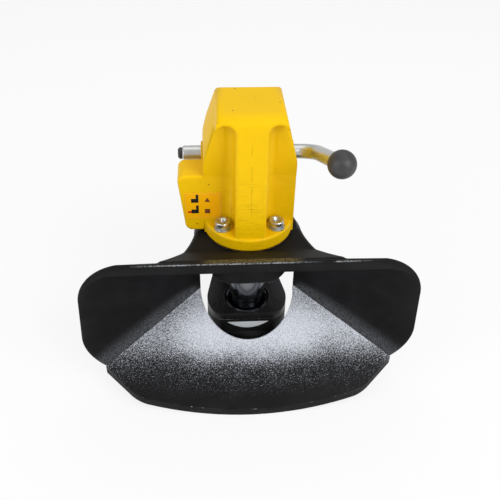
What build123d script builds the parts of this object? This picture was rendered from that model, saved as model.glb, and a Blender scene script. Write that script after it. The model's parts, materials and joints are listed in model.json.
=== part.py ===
"""Automatic pin coupling for a drawbar trailer, in millimetres.

The origin is the centre of the towing eye when it is coupled: the middle of the throat, on the
axis of the coupling pin. The mouth opens towards -Y, the draw shaft runs towards +Y, +Z is up.
"""

from build123d import *
import math
import os

os.makedirs("parts", exist_ok=True)

# Fits and general castings
running_gap = 0.06
press_gap = 0.02
face_gap = 0.3
swing_gap = 1.0
cast_radius = 3.0

# Coupling pin and the throat that takes the eye
pin_crown_radius = 24.35
pin_crown_half_height = 13.0
pin_crown_bulge = 0.6
pin_stem_radius = 24.3
pin_tip_radius = 20.0
pin_cone_foot = -30.0
pin_tip_chamfer = 4.0
pin_stem_top = 96.0
pin_shank_radius = 19.0
pin_lift = 90.0
pin_slot_width = 18.0
throat_radius = 61.5
throat_top = 32.0
throat_floor = -32.0
wear_plate_thickness = 10.0
lower_jaw_thickness = 22.0
upper_jaw_thickness = 28.0
jaw_radius = 53.0
jaw_front = 34.0
upper_jaw_front = 46.0
jaw_corner_radius = 18.0
pin_tip_bottom = throat_top + 1.0 - pin_lift

# Upper hub, ring seat and the back of the head
hub_radius = 50.0
hub_height = 29.0
web_half_width = 36.0
web_front = 63.0
web_back = 95.0
web_corner_radius = 6.0
lower_hub_margin = 10.0
lower_hub_height = 20.0
bush_wall = 6.6
bush_mouth_radius = 28.0
bush_mouth_depth = 8.0
bush_chamfer = 1.5

# Draw shaft with its nut
shaft_radius = 35.0
shaft_length = 110.0
shaft_root_cone = 8.0
shaft_root_taper = 45.0
thread_radius = 19.5
thread_length = 50.0
thread_chamfer = 2.5
nut_across_flats = 60.0
nut_height = 34.0
nut_crown_height = 9.0
nut_crown_radius = 25.0
nut_slot_width = 7.0
split_pin_radius = 1.5
split_pin_eye_radius = 3.0
nut_washer_thickness = 6.0
nut_washer_radius = 33.0

# Funnel: its inside grows evenly from the throat, the mouth plane leans forward at the top
mouth_reach = 88.0
mouth_lean = 3.5
throat_half_width = 61.5
throat_crease = 54.0
throat_ceiling = 24.0
throat_shoulder_height = 5.0
throat_apron_height = -11.0
throat_top_corner = 20.0
wing_spread = 1.525
crease_spread = 1.478
roof_rise = 0.717
shoulder_rise = 0.47
apron_fall = 0.663
corner_growth = 0.3
wing_flare = 0.125
throat_flare_height = 1.0
flare_fall = 0.2
funnel_wall = 7.5
apron_wall = 9.0
funnel_lip_thickness = 16.0
apron_bead = 2.0
apron_front = 135.5
apron_corner = (143.0, -118.0)
apron_shoulder = (183.0, -86.0)
apron_inner_end = (170.0, -76.0)
apron_corner_radius = 55.0
rim_fillet = 2.5
rim_step = 4.0
funnel_roof_recess = 16.0
lug_height = 24.0
deck_start = (66.5, -8.0)
deck_middle = (82.0, -50.0)
deck_end = (136.0, -100.0)
deck_bend = 50.0
deck_crest = 84.0
deck_height = 103.0
deck_fillet = 8.0
ring_shoulder = 16.0
ring_inset = 7.0
pivot_bolt_inner = 14.0
pivot_bolt_outer = 36.0
pivot_bolt_y = -74.0
pivot_bolt_grip = 9.0
ring_wall = 14.0
ring_liner_thickness = 3.0
pivot_plate_thickness = 10.0
pivot_spigot_margin = 5.0
pivot_ring_wall = 12.0
pivot_tongue_half_width = 44.0
pivot_tongue_reach = 86.0
cover_flange_thickness = 6.0
cover_flange_radius = 54.0
cover_drain_radius = 24.0

# Mechanism housing
gasket_thickness = 1.0
housing_half_width = 53.5
housing_shoulder = 188.0
housing_top_half_width = 36.0
housing_top = 258.0
housing_corner_radius = 11.0
housing_shoulder_radius = 60.0
housing_back = 66.0
housing_back_shoulder = 200.0
housing_top_back = 33.0
pocket_floor_foot = -15.0
pocket_floor_head = -28.0
pocket_top = 246.0
pocket_bend = 170.0
pocket_arch_radius = 9.0
pocket_arch_width = 14.0
pocket_arch_drop = 12.0
pocket_floor_blend = 12.0
brow_radius = 14.0
chamber_front = 2.0
rib_half_width = 18.0
rib_front_foot = -50.0
rib_front_head = -44.0
rib_fillet = 4.0
casing_fillet = 6.0
skirt_fillet = 2.5
skirt_height = 15.0
skirt_flange_back = 92.0
skirt_flange_half_width = 38.0
chamber_wall = 7.5
arm_slot_half_width = 11.0
arm_slot_front = -31.0
arm_slot_back = 20.0
arm_slot_foot = 100.0
arm_slot_head = 233.0

# Indicator box on the left of the housing
box_left = -84.0
box_front = pocket_floor_foot
box_back = 24.0
box_bottom = 107.0
box_foot_left = -77.0
box_chamber_half_width = 9.0
box_chamber_half_height = 14.0
box_top = 170.0
box_wall = 6.0
box_corner_radius = 9.0
box_edge_fillet = 3.0
indicator_y = 9.0
indicator_z = 138.0
indicator_radius = 5.0
indicator_sleeve_wall = 3.0
indicator_length = 34.0
indicator_shoulder = 2.0
sleeve_inset = 2.0
sleeve_length = 20.0
label_width = 43.0
label_height = 36.0
label_corner = 1.5
label_thickness = 0.4
label_x = -54.5
label_z = 129.0

# Hand lever, its shaft and the lifting arm
lever_radius = 9.0
lever_y = 40.0
lever_z = 168.0
lever_left = -78.0
lever_straight_reach = 28.5
lever_bend_radius = 24.0
lever_arm_length = 100.0
lever_arm_rise = 22.0
lever_arm_splay = 9.0
knob_radius = 16.0
knob_bore_past_centre = 4.0
arm_hub_radius = 15.0
arm_thickness = 16.0
arm_reach = 66.0
arm_finger = 7.0
cross_pin_radius = 5.5
cross_pin_play = 4.6
cross_pin_recess = 1.5
arm_tip_drop = 23.0
arm_relief_depth = 34.0
spring_wire_radius = 2.5
spring_turns = 4
spring_clearance = 2.0

lever_chamfer = 2.0
lever_bush_wall = 3.0
lever_bush_flange = 5.0
lever_bush_flange_thickness = 2.0
end_plug_length = 5.0

# Fasteners
housing_bolt_x = 32.0
housing_bolt_y = -27.0
rear_bolt_x = 24.0
rear_bolt_y = 80.0
bolt_thread_radius = 5.0
bolt_head_radius = 8.8
bolt_head_height = 9.0
bolt_socket_flats = 8.0
bolt_socket_depth = 5.0
bolt_head_chamfer = 1.0
washer_radius = 10.5
washer_thickness = 1.6
small_bolt_radius = 2.5
small_head_radius = 4.5
small_head_height = 4.0
countersink_half_angle = math.radians(41)
screw_grip = 12.0
bolt_grip = 20.0
cover_bolt_clearance = 5.1
cover_bolt_count = 4
cover_bolt_start = 45.0
wear_screw_x = 38.0
wear_screw_front = -16.0
wear_screw_back = 40.0

# Derived heights and radii
wear_plate_bottom = throat_floor - wear_plate_thickness
lower_jaw_bottom = wear_plate_bottom - lower_jaw_thickness
lower_hub_bottom = lower_jaw_bottom - lower_hub_height
hub_foot = throat_top + upper_jaw_thickness
hub_top = hub_foot + hub_height
bush_outer_radius = pin_stem_radius + bush_wall
cover_bolt_circle = bush_outer_radius + cover_bolt_clearance
lower_hub_radius = cover_bolt_circle + lower_hub_margin
pivot_spigot_radius = cover_bolt_circle + pivot_spigot_margin
lever_bend_x = housing_half_width + lever_straight_reach
ring_inner_radius = hub_radius + running_gap + ring_liner_thickness
ring_outer_radius = ring_inner_radius + ring_wall
ring_bottom = hub_foot + face_gap
ring_top = hub_top - swing_gap
housing_base = hub_top + gasket_thickness
skirt_top = housing_base + skirt_height
cross_pin_z = lever_z - pin_lift / 2
arm_half_turn = math.degrees(math.atan2(pin_lift / 2, lever_y))
pin_top = cross_pin_z + pin_shank_radius - arm_finger
cavity_radius = pin_stem_radius + face_gap + swing_gap
cavity_top = pin_top + pin_lift + swing_gap
plate_top = lower_hub_bottom - face_gap
plate_bottom = plate_top - pivot_plate_thickness
countersink_depth = (small_head_radius - small_bolt_radius) / math.tan(countersink_half_angle)
housing_bolt_places = [
    (-housing_bolt_x, housing_bolt_y),
    (housing_bolt_x, housing_bolt_y),
    (-rear_bolt_x, rear_bolt_y),
    (rear_bolt_x, rear_bolt_y),
]
pivot_bolt_places = [
    (side * x, pivot_bolt_y) for side in (-1, 1) for x in (pivot_bolt_inner, pivot_bolt_outer)
]
nut_start = web_back + shaft_length + nut_washer_thickness
split_y = nut_start + nut_height - nut_crown_height / 2
wear_screw_places = [
    (side * wear_screw_x, y) for side in (-1, 1) for y in (wear_screw_front, wear_screw_back)
]


def jaw_plan(front):
    """Plan of a jaw: round at the pin, drawn back to the web, with a flat front."""
    with BuildSketch() as plan:
        Circle(jaw_radius)
        with Locations((0, (web_front + web_back) / 2)):
            Rectangle(2 * web_half_width, web_back - web_front)
        make_hull()
        with Locations((0, -front - jaw_radius)):
            Rectangle(4 * jaw_radius, 2 * jaw_radius, mode=Mode.SUBTRACT)
        fillet(plan.vertices().group_by(Axis.Y)[0], radius=jaw_corner_radius)
        fillet(plan.vertices().group_by(Axis.Y)[-1], radius=web_corner_radius)
    return plan.sketch


def tube(outer, inner, bottom, top):
    """Plain upright tube on the pin axis."""
    with BuildPart(mode=Mode.PRIVATE) as ring:
        with BuildSketch(Plane.XY.offset(bottom)):
            Circle(outer)
            Circle(inner, mode=Mode.SUBTRACT)
        extrude(amount=top - bottom)
    return ring.part


def funnel_section(reach, wall, roof, floor):
    """Section of the funnel at a reach before the pin, the right half drawn and mirrored."""
    top = throat_ceiling + roof_rise * reach + roof
    bottom = throat_apron_height - apron_fall * reach - floor
    half = throat_half_width + wing_spread * reach + wall
    crease = throat_crease + crease_spread * reach + wall
    corner = throat_top_corner + corner_growth * reach + wall
    shoulder = (half, throat_shoulder_height + shoulder_rise * reach)
    flare = (half + wing_flare * reach, throat_flare_height - flare_fall * reach)
    with BuildSketch() as section:
        with BuildLine():
            Line((0, top), (half - corner, top))
            wing = Line(shoulder, flare)
            TangentArc(shoulder, (half - corner, top), tangent=-(wing % 0))
            TangentArc(flare, (crease, bottom), tangent=wing % 1)
            Line((crease, bottom), (0, bottom))
            mirror(about=Plane.YZ)
        make_face()
    return section.sketch


# Coupling head, with the draw shaft forged on
with BuildPart() as coupling_head:
    with BuildSketch(Plane.XY.offset(lower_jaw_bottom)):
        add(jaw_plan(jaw_front))
    extrude(amount=lower_jaw_thickness)
    with BuildSketch(Plane.XY.offset(throat_top)):
        add(jaw_plan(upper_jaw_front))
    extrude(amount=upper_jaw_thickness)
    with BuildSketch(Plane.XY.offset(lower_jaw_bottom)) as web_plan:
        with Locations((0, (web_front + web_back) / 2)):
            Rectangle(2 * web_half_width, web_back - web_front)
        fillet(web_plan.vertices().group_by(Axis.Y)[-1], radius=web_corner_radius)
    extrude(amount=hub_top - lower_jaw_bottom)
    with BuildSketch(Plane.XY.offset(hub_foot)):
        Circle(ring_outer_radius + swing_gap)
    extrude(amount=hub_height, mode=Mode.SUBTRACT)
    with BuildSketch(Plane.XY.offset(hub_foot)):
        Circle(hub_radius)
    extrude(amount=hub_height)
    with BuildSketch(Plane.XY.offset(lower_hub_bottom)):
        Circle(lower_hub_radius)
    extrude(amount=lower_hub_height)
    with BuildSketch(Plane.XZ.offset(-web_back)):
        Circle(shaft_radius + shaft_root_cone)
    extrude(amount=-shaft_root_cone, taper=shaft_root_taper)
    with BuildSketch(Plane.XZ.offset(-web_back)):
        Circle(shaft_radius)
    extrude(amount=-shaft_length)
    with BuildSketch(Plane.XZ.offset(-web_back - shaft_length)):
        Circle(thread_radius)
    extrude(amount=-thread_length)
    chamfer(coupling_head.edges().group_by(Axis.Y)[-1], length=thread_chamfer)
    with BuildSketch(Plane.YZ.offset(-shaft_radius)):
        with Locations((split_y, 0)):
            Circle(split_pin_radius + press_gap)
    extrude(amount=2 * shaft_radius, mode=Mode.SUBTRACT)
    with BuildSketch(Plane.XY.offset(lower_hub_bottom)):
        Circle(bush_outer_radius + press_gap)
    extrude(amount=hub_top - lower_hub_bottom, mode=Mode.SUBTRACT)
    with BuildSketch(Plane.XY.offset(wear_plate_bottom)):
        with Locations(*wear_screw_places):
            Circle(small_bolt_radius)
    extrude(amount=-screw_grip, mode=Mode.SUBTRACT)
    with BuildSketch(Plane.XY.offset(lower_hub_bottom)):
        with PolarLocations(cover_bolt_circle, cover_bolt_count, start_angle=cover_bolt_start):
            Circle(small_bolt_radius)
    extrude(amount=screw_grip, mode=Mode.SUBTRACT)
    with BuildSketch(Plane.XY.offset(hub_top)):
        with Locations(*housing_bolt_places):
            Circle(bolt_thread_radius)
    extrude(amount=-bolt_grip, mode=Mode.SUBTRACT)
coupling_head.part.label = "coupling_head"
export_step(coupling_head.part, "parts/coupling_head.step")

# Wear plate on the lower jaw
with BuildPart() as wear_plate:
    with BuildSketch(Plane.XY.offset(wear_plate_bottom)):
        add(jaw_plan(jaw_front))
        with Locations((0, (web_front + web_back) / 2)):
            Rectangle(4 * web_half_width, web_back - web_front, mode=Mode.SUBTRACT)
        Circle(bush_outer_radius + press_gap, mode=Mode.SUBTRACT)
    extrude(amount=wear_plate_thickness)
    with Locations(*[(x, y, throat_floor) for x, y in wear_screw_places]):
        CounterSinkHole(small_bolt_radius, small_head_radius, wear_plate_thickness)
wear_plate.part.label = "wear_plate"
export_step(wear_plate.part, "parts/wear_plate.step")

# Flat head screws of the wear plate
with BuildPart() as flat_screw:
    with BuildSketch(Plane.XZ):
        with BuildLine():
            Polyline(
                (0, throat_floor - face_gap),
                (small_head_radius - face_gap, throat_floor - face_gap),
                (small_bolt_radius - press_gap, throat_floor - countersink_depth),
                (small_bolt_radius - press_gap, wear_plate_bottom - screw_grip),
                (0, wear_plate_bottom - screw_grip),
                close=True,
            )
        make_face()
    revolve(axis=Axis.Z)
with BuildPart() as wear_plate_screws:
    with Locations(*[(x, y, 0) for x, y in wear_screw_places]):
        add(flat_screw.part)
wear_plate_screws.part.label = "wear_plate_screws"
export_step(wear_plate_screws.part, "parts/wear_plate_screws.step")

# Upper guide bush of the pin
with BuildPart() as upper_bush:
    add(tube(bush_outer_radius, pin_stem_radius + running_gap, throat_top + face_gap, hub_top))
    chamfer(upper_bush.edges().group_by(Axis.Z)[0], length=bush_chamfer)
upper_bush.part.label = "upper_bush"
export_step(upper_bush.part, "parts/upper_bush.step")

# Lower bush, its mouth leads the pin tip in
with BuildPart() as lower_bush:
    with BuildSketch(Plane.XZ):
        with BuildLine():
            Polyline(
                (bush_outer_radius, lower_hub_bottom),
                (bush_outer_radius, throat_floor),
                (bush_mouth_radius, throat_floor),
                (pin_tip_radius + running_gap, throat_floor - bush_mouth_depth),
                (pin_tip_radius + running_gap, lower_hub_bottom),
                close=True,
            )
        make_face()
    revolve(axis=Axis.Z)
lower_bush.part.label = "lower_bush"
export_step(lower_bush.part, "parts/lower_bush.step")

# Lower cover, its spigot carries the pivot plate of the funnel
with BuildPart() as lower_cover:
    spigot_top = lower_hub_bottom
    flange_top = plate_bottom - face_gap
    add(tube(pivot_spigot_radius, cover_drain_radius, flange_top, spigot_top))
    add(tube(cover_flange_radius, cover_drain_radius, flange_top - cover_flange_thickness, flange_top))
    with Locations(Plane.XY.offset(flange_top - cover_flange_thickness)):
        with PolarLocations(cover_bolt_circle, cover_bolt_count, start_angle=cover_bolt_start):
            Hole(small_bolt_radius)
lower_cover.part.label = "lower_cover"
export_step(lower_cover.part, "parts/lower_cover.step")
cover_bottom = flange_top - cover_flange_thickness

# Bolts of the lower cover
with BuildPart() as lower_cover_bolts:
    with BuildSketch(Plane.XY.offset(cover_bottom)):
        with PolarLocations(cover_bolt_circle, cover_bolt_count, start_angle=cover_bolt_start):
            Circle(small_head_radius)
    extrude(amount=-small_head_height)
    with BuildSketch(Plane.XY.offset(cover_bottom - small_head_height)):
        with PolarLocations(cover_bolt_circle, cover_bolt_count, start_angle=cover_bolt_start):
            RegularPolygon(small_bolt_radius, 6)
    extrude(amount=small_head_height / 2, mode=Mode.SUBTRACT)
    with BuildSketch(Plane.XY.offset(cover_bottom)):
        with PolarLocations(cover_bolt_circle, cover_bolt_count, start_angle=cover_bolt_start):
            Circle(small_bolt_radius - press_gap)
    extrude(amount=lower_hub_bottom + screw_grip - cover_bottom)
lower_cover_bolts.part.label = "lower_cover_bolts"
export_step(lower_cover_bolts.part, "parts/lower_cover_bolts.step")

# Washer, castle nut and split pin on the end of the draw shaft
with BuildPart() as shaft_washer:
    with BuildSketch(Plane.XZ.offset(-web_back - shaft_length)):
        Circle(nut_washer_radius)
        Circle(thread_radius + face_gap, mode=Mode.SUBTRACT)
    extrude(amount=-nut_washer_thickness)
shaft_washer.part.label = "shaft_washer"
export_step(shaft_washer.part, "parts/shaft_washer.step")

with BuildPart() as castle_nut:
    with BuildSketch(Plane.XZ.offset(-nut_start)):
        RegularPolygon(nut_across_flats / 2, 6, major_radius=False)
    extrude(amount=-nut_height)
    with BuildSketch(Plane.XZ.offset(-nut_start - nut_height + nut_crown_height)):
        Rectangle(2 * nut_across_flats, 2 * nut_across_flats)
        Circle(nut_crown_radius, mode=Mode.SUBTRACT)
    extrude(amount=-nut_crown_height, mode=Mode.SUBTRACT)
    with BuildSketch(Plane.XZ.offset(-nut_start - nut_height + nut_crown_height)):
        for slot_angle in range(0, 180, 60):
            with Locations(Rotation(0, 0, slot_angle)):
                Rectangle(2 * nut_across_flats, nut_slot_width)
    extrude(amount=-nut_crown_height, mode=Mode.SUBTRACT)
    with BuildSketch(Plane.XZ.offset(-nut_start)):
        Circle(thread_radius + press_gap)
    extrude(amount=-nut_height, mode=Mode.SUBTRACT)
    with BuildSketch(Plane.YZ.offset(-nut_across_flats)):
        with Locations((nut_start + nut_height - nut_crown_height / 2, 0)):
            Circle(split_pin_radius + press_gap)
    extrude(amount=2 * nut_across_flats, mode=Mode.SUBTRACT)
castle_nut.part.label = "castle_nut"
export_step(castle_nut.part, "parts/castle_nut.step")

# Funnel, a casting that swings on the hub of the head
mouth_plane = Plane(
    origin=(0, -mouth_reach, 0),
    x_dir=(1, 0, 0),
    z_dir=(0, -math.cos(math.radians(mouth_lean)), -math.sin(math.radians(mouth_lean))),
)
with BuildPart() as deck:
    with BuildSketch(Plane.XY.offset(ring_bottom)):
        with BuildLine():
            ThreePointArc(deck_start, deck_middle, deck_end)
            Line(deck_end, (0, deck_end[1]))
            Line(deck_start, (0, deck_start[1]))
            mirror(about=Plane.YZ)
        make_face()
    extrude(amount=deck_height - ring_bottom)
    with BuildSketch(Plane.YZ.offset(-deck_end[0])):
        with BuildLine():
            Polyline(
                (ring_outer_radius, ring_top),
                (-deck_bend, ring_top),
                (-deck_crest, deck_height),
                (-deck_crest, 2 * deck_height),
                (ring_outer_radius, 2 * deck_height),
                close=True,
            )
        make_face()
    extrude(amount=2 * deck_end[0], mode=Mode.SUBTRACT)
    flank_tops = deck.edges().filter_by(GeomType.LINE, reverse=True)
    fillet(flank_tops.filter_by_position(Axis.Z, ring_top, deck_height), radius=deck_fillet)
    with BuildSketch(mouth_plane.offset(-rim_step)):
        Rectangle(10 * mouth_reach, 10 * mouth_reach)
    extrude(amount=2 * mouth_reach, mode=Mode.SUBTRACT)

with BuildPart() as apron:
    with BuildSketch():
        with BuildLine():
            Line((0, apron_inner_end[1]), apron_inner_end)
            Line(apron_inner_end, apron_shoulder)
            Line(apron_shoulder, apron_corner)
            front_middle = (apron_corner[0] / 2, -apron_front + (apron_corner[1] + apron_front) / 4)
            ThreePointArc(apron_corner, front_middle, (0, -apron_front))
            mirror(about=Plane.YZ)
        make_face()
    extrude(amount=apron_front, both=True)
    upright = apron.edges().filter_by(Axis.Z)
    corners = upright.filter_by_position(
        Axis.Y, apron_corner[1] - face_gap, apron_corner[1] + face_gap
    )
    fillet(corners, radius=apron_corner_radius)
    with BuildSketch(Plane.YZ.offset(-apron_shoulder[0])):
        with BuildLine():
            underside = throat_apron_height - apron_wall - apron_bead
            Polyline(
                (0, throat_ceiling),
                (0, underside),
                (-2 * apron_front, underside - 2 * apron_fall * apron_front),
                (-2 * apron_front, throat_ceiling),
                close=True,
            )
        make_face()
    extrude(amount=2 * apron_shoulder[0], mode=Mode.INTERSECT)

with BuildPart() as funnel:
    with BuildSketch(Plane.XZ):
        add(funnel_section(0, funnel_wall, funnel_wall, apron_wall))
    with BuildSketch(Plane.XZ.offset(2 * mouth_reach)):
        lip_roof = 2 * funnel_lip_thickness - funnel_wall
        add(funnel_section(2 * mouth_reach, funnel_wall, lip_roof, apron_wall))
    loft(ruled=True)
    with BuildSketch(mouth_plane):
        Rectangle(10 * mouth_reach, 10 * mouth_reach)
    extrude(amount=2 * mouth_reach, mode=Mode.SUBTRACT)
    fillet(funnel.faces().sort_by(Axis.Y)[0].edges(), radius=rim_fillet)
    add(deck.part)
    add(apron.part)
    with BuildSketch(Plane.XY.offset(ring_bottom)):
        Circle(ring_outer_radius)
    extrude(amount=ring_shoulder)
    with BuildSketch(Plane.XY.offset(ring_bottom + ring_shoulder)):
        Circle(ring_outer_radius)
    ring_rise = ring_top - ring_bottom - ring_shoulder
    extrude(amount=ring_rise, taper=math.degrees(math.atan2(ring_inset, ring_rise)))
    with BuildSketch(Plane.XY.offset(plate_top)):
        with Locations((0, -pivot_tongue_reach / 2)):
            Rectangle(2 * pivot_tongue_half_width, pivot_tongue_reach)
    extrude(amount=lug_height)
    with BuildSketch(Plane.XZ.offset(-1)):
        add(funnel_section(-1, 0, 0, 0))
    with BuildSketch(Plane.XZ.offset(2 * mouth_reach)):
        add(funnel_section(2 * mouth_reach, 0, 0, 0))
    loft(ruled=True, mode=Mode.SUBTRACT)
    with BuildSketch(Plane.XY.offset(plate_top)):
        Circle(throat_radius)
    extrude(amount=ring_bottom - plate_top, mode=Mode.SUBTRACT)
    with BuildSketch(Plane.XY.offset(ring_bottom)):
        Circle(ring_inner_radius)
    extrude(amount=hub_height, mode=Mode.SUBTRACT)
    with BuildSketch(Plane.XY.offset(ring_top)):
        Circle(housing_half_width + 2 * swing_gap)
    extrude(amount=funnel_roof_recess, mode=Mode.SUBTRACT)
    with BuildSketch(Plane.XY.offset(plate_top)):
        with Locations(*pivot_bolt_places):
            Circle(small_bolt_radius)
    extrude(amount=pivot_bolt_grip, mode=Mode.SUBTRACT)
funnel.part.label = "funnel"
export_step(funnel.part, "parts/funnel.step")

# Liners of the two rings
with BuildPart() as funnel_upper_liner:
    add(tube(ring_inner_radius, hub_radius + running_gap, ring_bottom, ring_top))
funnel_upper_liner.part.label = "funnel_upper_liner"
export_step(funnel_upper_liner.part, "parts/funnel_upper_liner.step")

liner_bore = pivot_spigot_radius + running_gap
plate_bore = liner_bore + ring_liner_thickness
with BuildPart() as funnel_lower_liner:
    add(tube(plate_bore, liner_bore, plate_bottom, plate_top))
funnel_lower_liner.part.label = "funnel_lower_liner"
export_step(funnel_lower_liner.part, "parts/funnel_lower_liner.step")

# Pivot plate, bolted under the funnel
with BuildPart() as funnel_pivot_plate:
    with BuildSketch(Plane.XY.offset(plate_bottom)) as plate_plan:
        Circle(plate_bore + pivot_ring_wall)
        with Locations((0, -pivot_tongue_reach / 2)):
            Rectangle(2 * pivot_tongue_half_width, pivot_tongue_reach)
        fillet(plate_plan.vertices().group_by(Axis.Y)[0], radius=web_corner_radius)
        Circle(plate_bore, mode=Mode.SUBTRACT)
        with Locations(*pivot_bolt_places):
            Circle(small_bolt_radius, mode=Mode.SUBTRACT)
    extrude(amount=pivot_plate_thickness)
funnel_pivot_plate.part.label = "funnel_pivot_plate"
export_step(funnel_pivot_plate.part, "parts/funnel_pivot_plate.step")

with BuildPart() as pivot_plate_bolts:
    with BuildSketch(Plane.XY.offset(plate_bottom)):
        with Locations(*pivot_bolt_places):
            RegularPolygon(small_head_radius, 6, major_radius=False)
    extrude(amount=-small_head_height)
    with BuildSketch(Plane.XY.offset(plate_bottom)):
        with Locations(*pivot_bolt_places):
            Circle(small_bolt_radius - press_gap)
    extrude(amount=pivot_plate_thickness + face_gap + pivot_bolt_grip / 2)
pivot_plate_bolts.part.label = "pivot_plate_bolts"
export_step(pivot_plate_bolts.part, "parts/pivot_plate_bolts.step")

# Coupling pin, crowned where it bears on the eye, slotted at the top for the lifting arm
with BuildPart() as coupling_pin:
    with BuildSketch(Plane.XZ):
        with BuildLine():
            crown_edge = pin_crown_radius - pin_crown_bulge
            Polyline(
                (0, pin_tip_bottom),
                (pin_tip_radius - pin_tip_chamfer, pin_tip_bottom),
                (pin_tip_radius, pin_tip_bottom + pin_tip_chamfer),
                (pin_tip_radius, pin_cone_foot),
                (crown_edge, -pin_crown_half_height),
            )
            ThreePointArc(
                (crown_edge, -pin_crown_half_height),
                (pin_crown_radius, 0),
                (crown_edge, pin_crown_half_height),
            )
            Polyline(
                (crown_edge, pin_crown_half_height),
                (pin_stem_radius, pin_crown_half_height + pin_tip_chamfer),
                (pin_stem_radius, pin_stem_top),
                (pin_shank_radius, pin_stem_top + pin_tip_chamfer),
                (pin_shank_radius, pin_top),
                (0, pin_top),
                (0, pin_tip_bottom),
            )
        make_face()
    revolve(axis=Axis.Z)
    with BuildSketch(Plane.YZ.offset(-pin_slot_width / 2)):
        slot_floor = cross_pin_z - arm_tip_drop
        with BuildLine():
            Polyline(
                (-pin_stem_radius - swing_gap, slot_floor),
                (-cross_pin_radius, slot_floor),
                (pin_stem_radius + swing_gap, slot_floor - arm_relief_depth),
                (pin_stem_radius + swing_gap, pin_top + swing_gap),
                (-pin_stem_radius - swing_gap, pin_top + swing_gap),
                close=True,
            )
        make_face()
    extrude(amount=pin_slot_width, mode=Mode.SUBTRACT)
    with BuildSketch(Plane.YZ.offset(-pin_shank_radius)):
        with Locations((0, cross_pin_z)):
            Circle(cross_pin_radius + press_gap)
    extrude(amount=2 * pin_shank_radius, mode=Mode.SUBTRACT)
coupling_pin.part.label = "coupling_pin"
export_step(coupling_pin.part, "parts/coupling_pin.step")

with BuildPart() as lifting_cross_pin:
    cross_pin_half = pin_shank_radius - cross_pin_recess
    with BuildSketch(Plane.YZ.offset(-cross_pin_half)):
        with Locations((0, cross_pin_z)):
            Circle(cross_pin_radius)
    extrude(amount=2 * cross_pin_half)
lifting_cross_pin.part.label = "lifting_cross_pin"
export_step(lifting_cross_pin.part, "parts/lifting_cross_pin.step")

# Lifting arm, drawn level and turned down to its rest angle about the lever shaft
arm_turn = math.radians(arm_half_turn)
slot_half = cross_pin_radius + cross_pin_play
arm_plane = Plane(
    origin=(-arm_thickness / 2, lever_y, lever_z),
    x_dir=(0, -math.cos(arm_turn), -math.sin(arm_turn)),
    z_dir=(1, 0, 0),
)
with BuildPart() as lifting_arm:
    with BuildSketch(arm_plane):
        Circle(arm_hub_radius)
        with Locations((arm_reach / 2, 0)):
            Rectangle(arm_reach, 2 * (slot_half + arm_finger))
        slot_start = lever_y - cross_pin_radius - swing_gap
        with Locations((slot_start + slot_half + arm_reach / 2, 0)):
            Rectangle(arm_reach, 2 * slot_half, mode=Mode.SUBTRACT)
        with Locations((slot_start + slot_half, 0)):
            Circle(slot_half, mode=Mode.SUBTRACT)
        Circle(lever_radius + press_gap, mode=Mode.SUBTRACT)
    extrude(amount=arm_thickness)
lifting_arm.part.label = "lifting_arm"
export_step(lifting_arm.part, "parts/lifting_arm.step")

# Mechanism housing, a casting bolted on top of the head
front_reach = housing_back - rib_front_foot
stem_cavity_top = pin_stem_top + pin_tip_chamfer + pin_lift + swing_gap
bush_bore = lever_radius + running_gap + lever_bush_wall


def housing_front(inset, top):
    """Front view of the housing, or of its chamber when inset by the wall."""
    with BuildSketch() as outline:
        with BuildLine():
            wide = housing_half_width - inset
            narrow = housing_top_half_width - inset
            Polyline(
                (-wide, housing_base),
                (wide, housing_base),
                (wide, housing_shoulder),
                (narrow, top),
                (-narrow, top),
                (-wide, housing_shoulder),
                close=True,
            )
        make_face()
        fillet(outline.vertices().group_by(Axis.Y)[-1], radius=housing_corner_radius)
        fillet(outline.vertices().group_by(Axis.Y)[1], radius=housing_shoulder_radius)
    return outline.sketch


with BuildPart() as pocket:
    with BuildSketch(Plane.YZ.offset(rib_half_width)):
        with BuildLine():
            Polyline(
                (pocket_floor_foot, housing_base),
                (pocket_floor_foot, pocket_bend),
                (pocket_floor_head, pocket_top),
                (2 * rib_front_foot, pocket_top),
                (2 * rib_front_foot, housing_base),
                close=True,
            )
        make_face()
    extrude(amount=housing_half_width)
    floor_corner = pocket.edges().filter_by_position(
        Axis.X, rib_half_width - face_gap, rib_half_width + face_gap
    )
    floor_corner = floor_corner.filter_by_position(Axis.Y, pocket_floor_head, pocket_floor_foot)
    fillet(floor_corner, radius=pocket_floor_blend)
    with BuildSketch(Plane.XZ) as arch:
        with BuildLine():
            arch_foot = pocket_top - pocket_arch_drop
            Polyline(
                (rib_half_width, housing_base),
                (rib_half_width, pocket_top),
                (rib_half_width + pocket_arch_width, pocket_top),
                (housing_half_width, arch_foot),
                (2 * housing_half_width, arch_foot),
                (2 * housing_half_width, housing_base),
                close=True,
            )
        make_face()
        fillet(arch.vertices().group_by(Axis.Y)[-1], radius=pocket_arch_radius)
    extrude(amount=4 * housing_half_width, both=True, mode=Mode.INTERSECT)

with BuildPart() as chamber:
    with BuildSketch(Plane.XZ.offset(-housing_back + chamber_wall)):
        add(housing_front(chamber_wall, housing_top - chamber_wall))
    extrude(amount=housing_back - chamber_wall - chamber_front)
    with BuildSketch(Plane.YZ.offset(-housing_half_width)):
        with BuildLine():
            Polyline(
                (chamber_front, housing_base),
                (chamber_front, housing_top - chamber_wall),
                (housing_top_back - chamber_wall, housing_top - chamber_wall),
                (housing_back - chamber_wall, housing_back_shoulder - chamber_wall / 2),
                (housing_back - chamber_wall, housing_base),
                close=True,
            )
        make_face()
    extrude(amount=2 * housing_half_width, mode=Mode.INTERSECT)

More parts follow.
